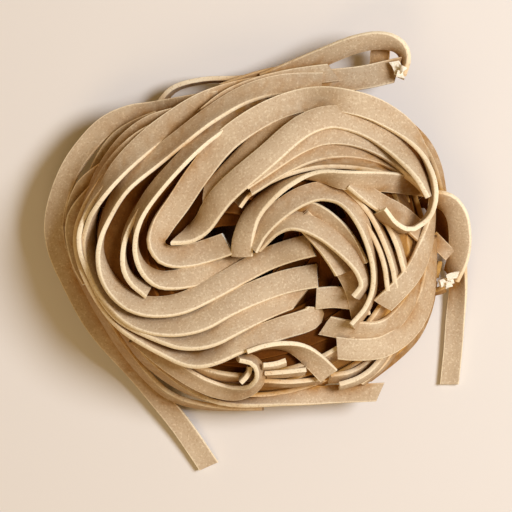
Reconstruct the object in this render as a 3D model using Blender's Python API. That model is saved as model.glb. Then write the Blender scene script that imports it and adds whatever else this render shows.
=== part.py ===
"""A dry pasta nest: flat wholegrain ribbons wound into a loose, swirled heap.

The ribbons are laid one by one, lowest first, on a heap that grows as they are laid. Each ribbon has a route
seen from above and a roll about its own length, and its height comes from what lies beneath it. A plain core
fills the middle of the heap, and all ribbons and the core are fused into one solid.

Metres in the scene, millimetres and degrees in the numbers below. +X is right and +Y is away, seen from above
with the loose tail at the front left. The origin is on the resting plane, under the middle of the whole.
"""

import math

import bmesh
import bpy
import numpy as np

MM = 0.001

# Driving sizes of the ribbons
RIBBON_WIDTH = 4.2
RIBBON_THICKNESS = 1.1
SINK = 0.35
FLOOR_GAP = 0.1

# Driving sizes of the heap
HEAP_CENTRE = (-1.5, 2.5)
HEAP_RADIUS = (38.0, 33.0)
HEAP_CREST = 26.0
VALLEY_ENDS = ((-13.0, 5.0), (14.0, -9.0))
VALLEY_DEPTHS = (6.0, 10.0)
VALLEY_SPREAD = 10.0
MIDDLE_SHIFT = (-0.15, 0.19)

# Half profile of the core: share of the heap's radius, share of the crest's height
CORE_SIDE = [(0.86, 0.0), (0.95, 0.14), (1.0, 0.36)]
CORE_TOP = [(1.0, 0.36), (0.95, 0.62), (0.86, 0.82), (0.72, 0.95), (0.5, 1.0), (0.25, 0.97), (0.0, 0.95)]
CORE_SIDES = 28

# Windings round the side: share of a turn where each starts, turns it runs, height, sway, layer outwards
SIDE_LAYER = 1.25
SIDE_WINDINGS = [
    (0.05, 0.62, 2.6, 0.3, 0.0),
    (0.55, 0.58, 3.2, 0.6, 0.12),
    (0.30, 0.66, 7.0, 0.8, 0.24),
    (0.85, 0.55, 7.4, 0.5, 0.07),
    (0.62, 0.60, 11.4, 0.9, 0.18),
    (0.12, 0.52, 11.8, 0.7, 0.33),
    (0.48, 0.60, 15.8, 0.6, 0.1),
    (0.98, 0.56, 15.4, 0.8, 0.22),
    (0.60, 0.42, 19.2, 0.5, 0.04),
    (0.92, 0.50, 5.0, 1.8, 1.0),
    (0.40, 0.46, 5.4, 1.4, 1.13),
    (0.20, 0.50, 9.6, 1.5, 1.06),
    (0.70, 0.42, 10.0, 1.3, 1.19),
]

# Laid ribbons, lowest first: name, width, least heights of the middle line from start to end, and the route as
# (x, y, roll) seen from above.
# A roll above 0 lifts the edge on the left of the way the route runs.
LAID_RIBBONS = [
    ("side_tail", 4.4, (6, 0, 0), [
        (46.2, 1, 60), (46, -8, 25), (45.4, -14.6, 8), (44.8, -21.6, 0), (43.8, -30, 0)]),
    ("back_arch", 3.6, (5,), [
        (-23, 34.5, 75), (-19.5, 38.4, 78), (-13, 40.2, 80), (-5, 40.6, 80), (3, 41.4, 75)]),
    ("outer_left", 4.8, (8, 11, 12, 9, 4, 0), [
        (-14, 34.2, 0), (-24, 33.1, 4), (-29, 32.4, 6), (-34.3, 30, 9), (-38.8, 25.4, 12), (-43, 18.9, 14),
        (-46.2, 9.5, 15), (-46, 2, 16), (-42.8, -6, 20), (-38, -14.5, 24), (-31.4, -23, 24), (-24.9, -31.5, 18),
        (-18.4, -39.8, 8), (-12, -49.3, 0)]),
    ("low_right", 4.0, (4.5,), [
        (25, -28.5, 70), (32, -23, 70), (36, -18.5, 66), (38.6, -12.5, 66), (40, -6, 70)]),
    ("right_flank", 4.0, (9,), [(33, 31, -70), (38.2, 26, -74), (41, 20.6, -76), (42.4, 14.5, -80)]),
    ("back_cross", 4.4, (7,), [(28.2, 48.4, 0), (27.8, 44.4, 2), (27.4, 40.4, 0)]),
    ("back_shelf", 4.2, (7,), [(-8, 37.4, 25), (0, 40.2, 20), (6, 41.5, 12), (17, 42.6, 5)]),
    ("back_loop", 4.4, (8, 9, 12, 10), [
        (1, 39.6, 25), (5.4, 41.4, 24), (11, 43.8, 22), (17, 46.2, 22), (22.5, 48.1, 24), (27.6, 48.9, 28),
        (31.5, 48.1, 42), (33.6, 45.4, 62), (33, 41.4, 76)]),
    ("right_leaf", 3.6, (9,), [(39.6, 5.4, -20), (42, 2.6, -12), (44, -0.2, -6)]),
    ("side_loop", 4.2, (12, 11, 6), [
        (40.4, 13.4, 66), (43.9, 12.7, 58), (46.2, 9.3, 52), (46.9, 4.6, 50), (46.4, 0, 56), (44.8, -4.4, 66)]),
    ("front_outer", 4.2, (7,), [
        (-41.5, -1.5, 62), (-36, -11.5, 60), (-30.5, -20.5, 58), (-24, -29.3, 58), (-19, -33, 62),
        (-13, -34.7, 70), (-6, -35.3, 80), (1, -35.2, 85)]),
    ("front_gap", 4.0, (6,), [(16.5, -27.6, 60), (22, -27, 52), (27, -24, 52), (31, -19, 55)]),
    ("front_pair_outer", 3.8, (7,), [(24, -29.2, 74), (28.7, -25.4, 74), (31.4, -21.6, 74), (34, -17.5, 74)]),
    ("front_pair_inner", 3.8, (8,), [(18.5, -29.6, 70), (23.1, -28.1, 70), (27, -25.4, 70), (31, -20, 70)]),
    ("front_bit_low", 3.4, (7,), [(1.6, -28, 74), (8, -28.4, 72), (15.2, -27.7, 70)]),
    ("front_bit_middle", 3.4, (8,), [(2.6, -26, 74), (7, -25.7, 70), (11.6, -25.1, 68)]),
    ("front_bit_high", 3.2, (9,), [(1.8, -23.9, 76), (4.6, -23.8, 72), (7.2, -23.1, 68)]),
    ("front_long", 4.2, (9,), [
        (-30, -15.5, 56), (-26, -22, 56), (-22, -26.2, 58), (-17, -30, 66), (-11, -32.8, 82),
        (-6, -33.3, 100), (0, -32.6, 130), (6, -32, 150), (14, -31.9, 165), (28, -31, 172)]),
    ("front_curl", 4.4, (11,), [
        (-27, -17, 16), (-22, -21.3, 24), (-16.7, -25.4, 32), (-10.8, -28.9, 36), (-5, -30.4, 42),
        (-0.3, -28.9, 50), (1.2, -25.6, 58), (-0.2, -22.8, 68), (-3.4, -22, 80)]),
    ("front_ripple", 4.8, (13, 12, 10), [
        (-1.5, -20.8, 88), (3, -19.4, 84), (7.5, -19.3, 68), (11, -20.6, 40), (13.9, -23.1, 18), (16.8, -26.2, 8)]),
    ("sweep_4", 5.2, (9,), [
        (13.2, -13.1, 6), (8, -14.7, 10), (2, -16.8, 20), (-4, -18.9, 30), (-8, -21, 45), (-12.5, -22.3, 56),
        (-17, -21.4, 60), (-26, -16.9, 62), (-31.5, -13.3, 66), (-36.4, -8, 74), (-40.4, -1, 84),
        (-42, 6, 98), (-41, 12.4, 112), (-38, 18.4, 126), (-33.6, 23.6, 138), (-28.6, 27.4, 152),
        (-23, 29.8, 166), (-18.5, 31.2, 176)]),
    ("sweep_3", 5.2, (10,), [
        (10.8, -8, 6), (4.4, -10.2, 10), (-0.5, -12.4, 16), (-5, -14.9, 28), (-8.5, -17, 42), (-12.5, -18.2, 50),
        (-18, -17.9, 55), (-28, -13.8, 62), (-33.5, -9.6, 70), (-37.2, -4.2, 80), (-39.5, 2, 92),
        (-39.9, 8, 104), (-38.2, 14, 116), (-35, 19.4, 130), (-30.5, 23.6, 148), (-25.6, 26.4, 166),
        (-21.5, 28.2, 176)]),
    ("sweep_2", 5.4, (11,), [
        (14.6, -3.9, 4), (7, -5.3, 6), (0, -7.6, 12), (-6, -10.3, 22), (-12, -13.6, 34), (-19, -14.9, 42),
        (-26, -13.5, 48), (-31.5, -9, 58), (-35.4, -2.8, 74), (-36.6, 4, 92), (-35.4, 10, 112),
        (-33, 15, 130), (-29.8, 20.4, 146), (-25.2, 25.1, 154), (-19.8, 29.5, 160), (-11.6, 34.6, 164),
        (-2, 37.9, 168), (7, 39.2, 172), (16, 39.8, 176), (32.2, 41.4, 180)]),
    ("nested_floor", 4.6, (12,), [
        (-27, -9.5, -8), (-30.4, -4, -12), (-31.4, 2, -16), (-30, 9, -20), (-25.6, 16.2, -22),
        (-18.6, 23.4, -22), (-10, 31, -20)]),
    ("nested_low", 4.2, (14,), [
        (-23, -7.4, 50), (-27.4, -4, 74), (-28.9, 1, 94), (-27.6, 7.5, 110), (-22, 16.4, 122), (-14, 25, 130)]),
    ("nested_high", 4.8, (14,), [
        (-1, -0.6, 12), (-8, -2.6, 16), (-14.5, -4.2, 24), (-20.5, -4.6, 44), (-24.6, -1.6, 76), (-26.1, 4, 98),
        (-24, 11.5, 118), (-17, 20.5, 126), (-8, 29.3, 136), (3, 35.2, 146)]),
    ("sweep_1", 5.2, (12,), [
        (13.6, 3.3, 8), (8.8, 2, 9), (3.2, -0.1, 11), (-2.4, -3, 15), (-10, -7, 21), (-17, -9.9, 27),
        (-24, -10.2, 34), (-29, -8, 46), (-32.7, -3.5, 66), (-34.3, 2.5, 96), (-33.1, 8.4, 112),
        (-28.9, 15.5, 126), (-22.5, 21.6, 130), (-16, 27.1, 132), (-9.5, 32.2, 136), (-2, 36.6, 142),
        (6, 38.8, 155), (15, 39.2, 168)]),
    ("right_under", 4.6, (9,), [
        (37.6, -1, -58), (35.6, -8, -52), (32.4, -13, -40), (28.5, -15.9, -28), (22.6, -16.2, -12),
        (16.2, -14.6, 0)]),
    ("right_over", 5.0, (10,), [
        (39.8, 5, -66), (39.6, -3, -56), (38.2, -10.2, -42), (34.6, -16.2, -24), (29, -19.7, -8), (23, -20.3, 0),
        (17.6, -19.2, 4)]),
    ("short_cross", 4.9, (10,), [(13.4, -9.2, 4), (17.6, -8.7, 4), (21.8, -9, 4)]),
    ("spoke_3", 3.8, (12,), [(24, 9.5, -80), (27.4, 4.5, -80), (29.6, -1, -80), (30.4, -6.5, -80)]),
    ("spoke_1", 3.8, (12.5,), [
        (17.6, 18.4, -80), (21.4, 15.6, -80), (26, 10.6, -80), (29.4, 4, -80), (31.4, -1.5, -80), (32.2, -6, -80)]),
    ("spoke_2", 3.8, (12.5,), [(20.8, 18.4, -80), (24.4, 15.4, -80), (28.6, 10.6, -80), (32, 4, -80), (34, -3, -78)]),
    ("hook_under", 4.6, (13,), [(21.6, 17.8, -50), (25.4, 14.6, -46), (29, 12, -38), (33, 9.6, -34), (38.4, 4.6, -36)]),
    ("right_prop", 4.6, (13,), [
        (28.6, -10.8, 12), (32, -7.4, 20), (35.6, -3.2, 32), (38, 2, 48), (39.6, 8, 72), (40, 13.5, 84)]),
    ("eye_floor", 4.6, (11,), [(17.5, 1.5, 10), (20.5, -2.5, 14), (22.8, -7.5, 18), (24, -13, 20)]),
    ("eye_middle", 4.4, (12,), [
        (3.4, 8.2, 4), (8.2, 11.2, 8), (13.2, 11, 16), (17.8, 8, 24), (21.4, 3.8, 34), (24, -1, 44)]),
    ("eye_inner", 4.4, (12,), [(8, 6.2, -12), (12.4, 4.8, -14), (15.8, 2, -16), (18.2, -0.9, -18), (20, -3.4, -18)]),
    ("eye_curl", 4.6, (13,), [
        (0.4, 3.4, -26), (4.8, 7.5, -26), (9.6, 8.9, -28), (15.2, 6.9, -34), (20.4, 2.8, -42), (23.9, -1.6, -58),
        (24.9, -5.6, -74), (23, -8.4, -76)]),
    ("eye_arc", 4.6, (14,), [
        (-0.6, 2.6, -22), (1.8, 6.6, -24), (6.1, 10.9, -26), (11, 14.1, -28), (15.8, 15.3, -32), (20.8, 13.6, -44),
        (24.4, 8.4, -62), (26.4, 1.4, -78), (26.9, -5.5, -80), (25.4, -10.8, -78), (22.2, -15, -74)]),
    ("fold_under", 4.2, (14,), [
        (-3.6, 12.2, -52), (-0.6, 15.8, -54), (6, 19.2, -60), (13, 20.9, -62), (20, 21.2, -62),
        (28, 20.2, -60), (35, 18, -60)]),
    ("crossing", 4.9, (15,), [
        (-2.5, 0.5, -6), (-2.3, 4.6, -16), (0.1, 10.7, -38), (5.3, 15.6, -62), (10.8, 18.2, -90),
        (15.5, 18.6, -118), (21, 17.7, -144), (30, 17.3, -154), (39.5, 16, -142)]),
    ("top_low", 4.2, (16,), [(-12.4, 11.8, -8), (-9.4, 15.4, -24), (-5, 20.6, -36), (0.6, 26, -36), (8, 31, -30), (16, 33.4, -20)]),
    ("top_inner", 4.8, (16,), [
        (-1, 16.4, -16), (6.5, 20.9, -20), (13, 23.6, -22), (20, 24.6, -22), (27, 23.6, -28), (33, 20.8, -42),
        (37, 17.4, -62), (39, 14.6, -76)]),
    ("top_middle", 4.8, (17,), [
        (3, 20.6, -12), (10, 25.5, -10), (16, 27.7, -8), (23, 27.3, -12), (30, 24.4, -26), (36, 19.4, -50), (39, 15.4, -74)]),
    ("top_fold", 5.4, (12, 18, 18, 18), [
        (-18.6, 4.9, -62), (-14.6, 5.6, -50), (-11.4, 8, -32), (-9, 11.4, -20), (-5.2, 15.7, -16), (3.4, 22.8, -16),
        (9.5, 28.3, -16), (14, 31, -16), (19, 31.8, -18), (26, 29.5, -26), (32, 24.9, -44), (37, 18.8, -68), (39.3, 14, -84)]),
    ("top_outer", 5.4, (17, 19, 19, 19), [
        (-5.2, 3.7, 16), (-9.4, 2.2, 18), (-14.8, 0.6, 24), (-19.4, 0.6, 38), (-22, 3.4, 54), (-20.4, 7.8, 28),
        (-16.5, 13, 10), (-11.9, 19.3, 4), (-5, 27.1, -3), (4.4, 33.3, -8), (14, 35.9, -6), (24, 34.3, -12),
        (31, 31, -26), (35.6, 27.2, -55), (38.6, 22, -85), (40.4, 15, -98), (38.8, 9.2, -96), (34.8, 6.6, -88),
        (31.4, 7.8, -74), (28.6, 10.8, -60)]),
]

# Ribbons too small to be worth fusing
LEFT_LOOSE = {
    "front_gap", "front_pair_inner", "front_bit_low", "front_bit_middle", "front_bit_high", "spoke_3",
    "hook_under", "right_leaf", "eye_floor", "fold_under", "nested_floor"}

# Fineness of the heap's height map and of the fused ribbons
CELL = 0.4
REACH = 62.0
STEP = 0.8
SMOOTHING = 3.5
LONGEST_STRETCH = 14.0
SHARPEST_TURN = 52.0


def core_height(x, y):
    """Height of the core's top over a point, 0 outside it."""
    share = np.hypot((x - HEAP_CENTRE[0]) / HEAP_RADIUS[0], (y - HEAP_CENTRE[1]) / HEAP_RADIUS[1])
    profile = sorted(CORE_TOP)
    height = HEAP_CREST * np.interp(share, [p[0] for p in profile], [p[1] for p in profile])
    return np.where(share <= 1.0, height - valley(x, y), 0.0)


def valley(x, y):
    """Depth of the hollow that runs through the middle of the swirl."""
    (x0, y0), (x1, y1) = VALLEY_ENDS
    run, rise = x1 - x0, y1 - y0
    share = np.clip(((x - x0) * run + (y - y0) * rise) / (run * run + rise * rise), 0, 1)
    away = np.hypot(x - x0 - share * run, y - y0 - share * rise) / VALLEY_SPREAD
    depth = VALLEY_DEPTHS[0] + (VALLEY_DEPTHS[1] - VALLEY_DEPTHS[0]) * share
    return depth * np.exp(-away * away)


class Heap:
    """What has been laid so far, as a height over each cell of a square grid."""

    def __init__(self):
        self.ends = np.arange(-REACH, REACH + CELL, CELL)
        x, y = np.meshgrid(self.ends, self.ends)
        self.top = np.maximum(core_height(x, y), FLOOR_GAP)

    def cells(self, x, y):
        last = len(self.ends) - 1
        column = np.clip(np.rint((x + REACH) / CELL), 0, last).astype(int)
        row = np.clip(np.rint((y + REACH) / CELL), 0, last).astype(int)
        return row, column

    def height(self, x, y):
        return self.top[self.cells(x, y)]

    def cover(self, x, y, z):
        np.maximum.at(self.top, self.cells(x, y), z)


def smooth_route(points, step=STEP):
    """Points every step along a smooth curve through the route's own points, all their values with them."""
    points = np.array(points, dtype=float)
    before = 2 * points[0] - points[1]
    after = 2 * points[-1] - points[-2]
    guides = np.vstack([before, points, after])
    pieces = []
    for index in range(1, len(guides) - 2):
        p0, p1, p2, p3 = guides[index - 1:index + 3]
        length = np.hypot(*(p2 - p1)[:2])
        share = np.linspace(0, 1, max(3, int(length / step)), endpoint=False)[:, None]
        pieces.append(0.5 * (
            2 * p1 + (p2 - p0) * share + (2 * p0 - 5 * p1 + 4 * p2 - p3) * share ** 2
            + (3 * p1 - p0 - 3 * p2 + p3) * share ** 3))
    pieces.append(guides[-2][None, :])
    return np.vstack(pieces)


def soften(values, length):
    """Values smoothed along a ribbon over about a length in millimetres."""
    reach = int(3 * length / STEP)
    weights = np.exp(-0.5 * (np.arange(-reach, reach + 1) * STEP / length) ** 2)
    padded = np.pad(values, reach, mode="edge")
    return np.convolve(padded, weights / weights.sum(), mode="valid")


def widest(values, length):
    """The greatest value near each place along a ribbon."""
    reach = max(1, int(length / STEP))
    padded = np.pad(values, reach, mode="edge")
    return np.array([padded[i:i + 2 * reach + 1].max() for i in range(len(values))])


def left_of(line):
    """Level direction to the left of the way a line runs."""
    along = np.gradient(line[:, :2], axis=0)
    along /= np.linalg.norm(along, axis=1)[:, None]
    return np.stack([-along[:, 1], along[:, 0]], axis=1)


def section_points(line, roll, width, share):
    """Plan place and rise above the middle line of points over each section, out to a share of the width."""
    across = np.linspace(-0.5, 0.5, 9)[None, :, None] * width * share
    through = np.array([-0.5, 0.5])[None, None, :] * RIBBON_THICKNESS
    angle = np.radians(roll)[:, None, None]
    aside = across * np.cos(angle) - through * np.sin(angle)
    rise = across * np.sin(angle) + through * np.cos(angle)
    left = left_of(line)
    x = line[:, 0, None, None] + aside * left[:, 0, None, None]
    y = line[:, 1, None, None] + aside * left[:, 1, None, None]
    return x, y, rise


def lay(heap, width, least, route):
    """Middle line and roll of a ribbon that rests on the heap, which it then covers."""
    fine = smooth_route(route)
    line, roll = fine[:, :2], fine[:, 2]
    x, y, rise = section_points(line, roll, width, 0.55)
    rest = (heap.height(x, y) - rise).max(axis=(1, 2))
    x, y, rise = section_points(line, roll, width, 1.0)
    lowest = soften(widest(FLOOR_GAP - rise.min(axis=(1, 2)), 1.6), 1.6)
    rest = np.maximum(rest, lowest)
    along = np.linspace(0, 1, len(rest))
    held = np.interp(along, np.linspace(0, 1, len(least)), least)
    height = soften(widest(np.maximum(rest, held), 1.6), SMOOTHING)
    heap.cover(x, y, height[:, None, None] + rise)
    return np.column_stack([line, np.maximum(height - SINK, lowest)]), roll


def side_winding(start, turns, height, sway, layer):
    """Middle line and roll of a ribbon wound round the side of the heap, its face against the core."""
    count = int(turns * 240 / STEP)
    turn = 2 * math.pi * (start + turns * np.linspace(0, 1, count))
    z = height + sway * np.sin(2 * turn + 7 * start)
    profile = CORE_SIDE + CORE_TOP[1:]
    levels = [p[1] * HEAP_CREST for p in profile[:5]]
    shares = [p[0] for p in profile[:5]]
    out = 0.1 + SIDE_LAYER * layer
    share = np.interp(z, levels, shares)
    lean = np.interp(z + 1, levels, shares) - np.interp(z - 1, levels, shares)
    x = HEAP_CENTRE[0] + (HEAP_RADIUS[0] * share + out) * np.cos(turn)
    y = HEAP_CENTRE[1] + (HEAP_RADIUS[1] * share + out) * np.sin(turn)
    radius = (HEAP_RADIUS[0] + HEAP_RADIUS[1]) / 2
    roll = 90 + np.degrees(np.arctan2(lean * radius, 2))
    return np.column_stack([x, y, z]), roll


def sections_kept(line, roll):
    """Places where the fused ribbon has a section: closer together where it bends or rolls."""
    along = np.gradient(line, axis=0)
    heading = np.unwrap(np.arctan2(along[:, 1], along[:, 0]))
    pitch = np.arctan2(along[:, 2], np.hypot(along[:, 0], along[:, 1]))
    length = np.hypot(np.hypot(*np.diff(line[:, :2], axis=0).T), np.diff(line[:, 2]))
    turning = np.degrees(np.abs(np.diff(heading)) + np.abs(np.diff(pitch))) + np.abs(np.diff(roll))
    effort = np.concatenate([[0], np.cumsum(length / LONGEST_STRETCH + turning / SHARPEST_TURN)])
    count = max(2, int(math.ceil(effort[-1])))
    wanted = np.linspace(0, effort[-1], count + 1)
    return np.unique([int(np.argmin(np.abs(effort - w))) for w in wanted])


def new_object(name, mesh_maker, collection):
    """An object from a bmesh-making function, in a collection."""
    shape = bmesh.new()
    mesh_maker(shape)
    bmesh.ops.triangulate(shape, faces=shape.faces)
    bmesh.ops.recalc_face_normals(shape, faces=shape.faces)
    mesh = bpy.data.meshes.new(name)
    shape.to_mesh(mesh)
    shape.free()
    thing = bpy.data.objects.new(name, mesh)
    collection.objects.link(thing)
    return thing


def ribbon_mesh(shape, line, roll, width, thickness):
    """A closed flat ribbon with square edges along a line."""
    kept = sections_kept(line, roll)
    left = left_of(line)
    along = np.gradient(line, axis=0)
    along /= np.linalg.norm(along, axis=1)[:, None]
    rings = []
    for index in kept:
        side = np.array([left[index, 0], left[index, 1], 0.0])
        upright = np.cross(along[index], side)
        angle = math.radians(roll[index])
        across = math.cos(angle) * side + math.sin(angle) * upright
        through = np.cross(along[index], across)
        corners = [(-0.5, -0.5), (0.5, -0.5), (0.5, 0.5), (-0.5, 0.5)]
        places = [line[index] + a * width * across + b * thickness * through for a, b in corners]
        rings.append([shape.verts.new(place * MM) for place in places])
    for ring, following in zip(rings, rings[1:]):
        for a in range(4):
            b = (a + 1) % 4
            shape.faces.new((ring[a], ring[b], following[b], following[a]))
    shape.faces.new(rings[0][::-1])
    shape.faces.new(rings[-1])


def core_mesh(shape):
    """The core: a low dome with a hollow at the eye of the swirl and a flat base."""
    profile = CORE_SIDE + CORE_TOP[1:-1]
    rings = []
    for share, level in profile:
        ring = []
        for step in range(CORE_SIDES):
            turn = 2 * math.pi * step / CORE_SIDES
            x = HEAP_CENTRE[0] + HEAP_RADIUS[0] * share * math.cos(turn)
            y = HEAP_CENTRE[1] + HEAP_RADIUS[1] * share * math.sin(turn)
            z = HEAP_CREST * level
            if level > CORE_SIDE[-1][1]:
                z -= float(valley(x, y))
            ring.append(shape.verts.new((x * MM, y * MM, z * MM)))
        rings.append(ring)
    for ring, following in zip(rings, rings[1:]):
        for a in range(CORE_SIDES):
            b = (a + 1) % CORE_SIDES
            shape.faces.new((ring[a], ring[b], following[b], following[a]))
    shape.faces.new(rings[0][::-1])
    x, y = HEAP_CENTRE
    z = HEAP_CREST * CORE_TOP[-1][1] - float(valley(x, y))
    middle = shape.verts.new((x * MM, y * MM, z * MM))
    last = rings[-1]
    for a in range(CORE_SIDES):
        shape.faces.new((last[a], last[(a + 1) % CORE_SIDES], middle))


def pasta_material():
    """Matte wholegrain pasta."""
    material = bpy.data.materials.new("wholegrain_pasta")
    material.use_nodes = True
    shader = material.node_tree.nodes["Principled BSDF"]
    shader.inputs["Base Color"].default_value = (0.58, 0.45, 0.30, 1.0)
    shader.inputs["Roughness"].default_value = 0.75
    shader.inputs["Metallic"].default_value = 0.0
    return material


def keep_largest_body(mesh):
    """Drops loose scraps and fills hollows that the fusing sealed."""
    shape = bmesh.new()
    shape.from_mesh(mesh)
    waiting = set(shape.verts)
    bodies = []
    while waiting:
        first = waiting.pop()
        body = {first}
        edge_of_body = [first]
        while edge_of_body:
            for edge in edge_of_body.pop().link_edges:
                for vert in edge.verts:
                    if vert not in body:
                        body.add(vert)
                        edge_of_body.append(vert)
        waiting -= body
        bodies.append(body)
    bodies.sort(key=len)
    for body in bodies[:-1]:
        bmesh.ops.delete(shape, geom=list(body), context="VERTS")
    shape.to_mesh(mesh)
    shape.free()


def build():
    for thing in list(bpy.data.objects):
        bpy.data.objects.remove(thing)
    scene_collection = bpy.context.scene.collection
    pieces = bpy.data.collections.new("pieces")
    scene_collection.children.link(pieces)

    heap = Heap()
    nest = new_object("nest", core_mesh, scene_collection)
    laid = []
    for index, (start, turns, height, sway, layer) in enumerate(SIDE_WINDINGS):
        line, roll = side_winding(start, turns, height, sway, layer)
        x, y, rise = section_points(line, roll, RIBBON_WIDTH, 1.0)
        heap.cover(x, y, line[:, 2, None, None] + rise)
        laid.append((f"side_{index}", RIBBON_WIDTH, line, roll))
    for name, width, least, route in LAID_RIBBONS:
        line, roll = lay(heap, width, least, route)
        if name not in LEFT_LOOSE:
            laid.append((name, width, line, roll))
    for name, width, line, roll in laid:
        new_object(name, lambda shape: ribbon_mesh(shape, line, roll, width, RIBBON_THICKNESS), pieces)

    fuse = nest.modifiers.new("fuse", "BOOLEAN")
    fuse.operation = "UNION"
    fuse.operand_type = "COLLECTION"
    fuse.collection = pieces
    fuse.solver = "MANIFOLD"
    bpy.context.view_layer.objects.active = nest
    nest.select_set(True)
    bpy.ops.object.modifier_apply(modifier="fuse")
    for thing in list(pieces.objects):
        bpy.data.objects.remove(thing)
    bpy.data.collections.remove(pieces)

    keep_largest_body(nest.data)
    for vertex in nest.data.vertices:
        vertex.co.x -= MIDDLE_SHIFT[0] * MM
        vertex.co.y -= MIDDLE_SHIFT[1] * MM
    nest.data.materials.clear()
    nest.data.materials.append(pasta_material())


build()
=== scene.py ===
"""The looks of a dry pasta nest.

Its flat wholegrain ribbons are cut from one straight blank and bent along their routes. The nest's sizes are
in millimetres and its angles in degrees, turned into metres and radians where Blender needs them. The studio
and the bumps of the materials are in metres.
"""

import math
import random

import bmesh
import bpy
import numpy as np
from mathutils import Matrix, Vector


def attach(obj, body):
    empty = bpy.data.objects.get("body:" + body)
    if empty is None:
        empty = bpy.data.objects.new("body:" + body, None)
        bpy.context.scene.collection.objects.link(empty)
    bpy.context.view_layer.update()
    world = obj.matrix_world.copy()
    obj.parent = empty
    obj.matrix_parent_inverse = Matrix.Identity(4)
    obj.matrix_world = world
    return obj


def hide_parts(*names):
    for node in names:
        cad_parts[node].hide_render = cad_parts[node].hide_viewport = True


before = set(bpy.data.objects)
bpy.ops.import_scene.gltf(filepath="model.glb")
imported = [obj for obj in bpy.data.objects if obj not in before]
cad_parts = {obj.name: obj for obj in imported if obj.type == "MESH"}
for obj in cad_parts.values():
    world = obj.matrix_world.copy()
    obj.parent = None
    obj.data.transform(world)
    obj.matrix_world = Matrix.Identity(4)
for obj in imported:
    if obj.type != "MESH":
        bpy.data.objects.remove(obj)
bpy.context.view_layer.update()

MM = 0.001

# Driving sizes of the ribbons
RIBBON_WIDTH = 4.2
RIBBON_THICKNESS = 1.1
EDGE_ROUNDING = 0.24
SINK = 0.05
FLOOR_GAP = 0.3

# The straight blank that every ribbon is cut from, and its cuts across and along
BLANK_LENGTH = 300.0
BLANK_CUTS_ACROSS = 3
BLANK_COARSE_CUTS = 14
BLANK_FINE_CUTS = 15
ROUNDING_SEGMENTS = 2
CUT_MARGIN = 0.1
FACE_SLOT = 0
BROKEN_SLOT = 1

# How far a ribbon has cupped across its width in drying, at most
CUPPING = 0.4

# Waves that drying leaves along a ribbon: size, length for each radian, and how often its own phase counts
RISE_WAVE = (0.10, 5.3, 1)
ASIDE_WAVE = (0.12, 6.1, 2)
ROLL_WAVES = ((3.0, 7.7, 3), (1.5, 3.1, 1))
PHASES = 40

# Slants that chance gives a cut end that is hidden, and an end of a broken bit
HIDDEN_SLANT = 9
BIT_SLANT = 40

# Driving sizes of the heap
HEAP_CENTRE = (-1.5, 2.5)
HEAP_RADIUS = (38.0, 33.0)
HEAP_CREST = 26.0
HEAP_GIRTH = 240
VALLEY_ENDS = ((-13.0, 5.0), (14.0, -9.0))
VALLEY_DEPTHS = (6.0, 10.0)
VALLEY_SPREAD = 10.0
MIDDLE_SHIFT = (-0.15, 0.19)

# Half profile of the heap, from its foot to its middle: share of its radius, share of the crest's height.
# The numbered points are the widest one and the one where the side ends.
HEAP_PROFILE = [
    (0.86, 0.0), (0.95, 0.14), (1.0, 0.36), (0.95, 0.62), (0.86, 0.82), (0.72, 0.95), (0.5, 1.0),
    (0.25, 0.97), (0.0, 0.95)]
WIDEST_POINT = 2
SHOULDER_POINT = 4

# Windings round the side: share of a turn where each starts, turns it runs, height, sway, layer outwards
SIDE_GAP = 0.1
SIDE_LAYER = 1.25
SIDE_WINDINGS = [
    (0.05, 0.62, 2.6, 0.3, 0.0),
    (0.55, 0.58, 3.2, 0.6, 0.12),
    (0.30, 0.66, 7.0, 0.8, 0.24),
    (0.85, 0.55, 7.4, 0.5, 0.07),
    (0.62, 0.60, 11.4, 0.9, 0.18),
    (0.12, 0.52, 11.8, 0.7, 0.33),
    (0.48, 0.60, 15.8, 0.6, 0.1),
    (0.98, 0.56, 15.4, 0.8, 0.22),
    (0.60, 0.42, 19.2, 0.5, 0.04),
    (0.92, 0.50, 5.0, 1.8, 1.0),
    (0.40, 0.46, 5.4, 1.4, 1.13),
    (0.20, 0.50, 9.6, 1.5, 1.06),
    (0.70, 0.42, 10.0, 1.3, 1.19),
]

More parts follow.
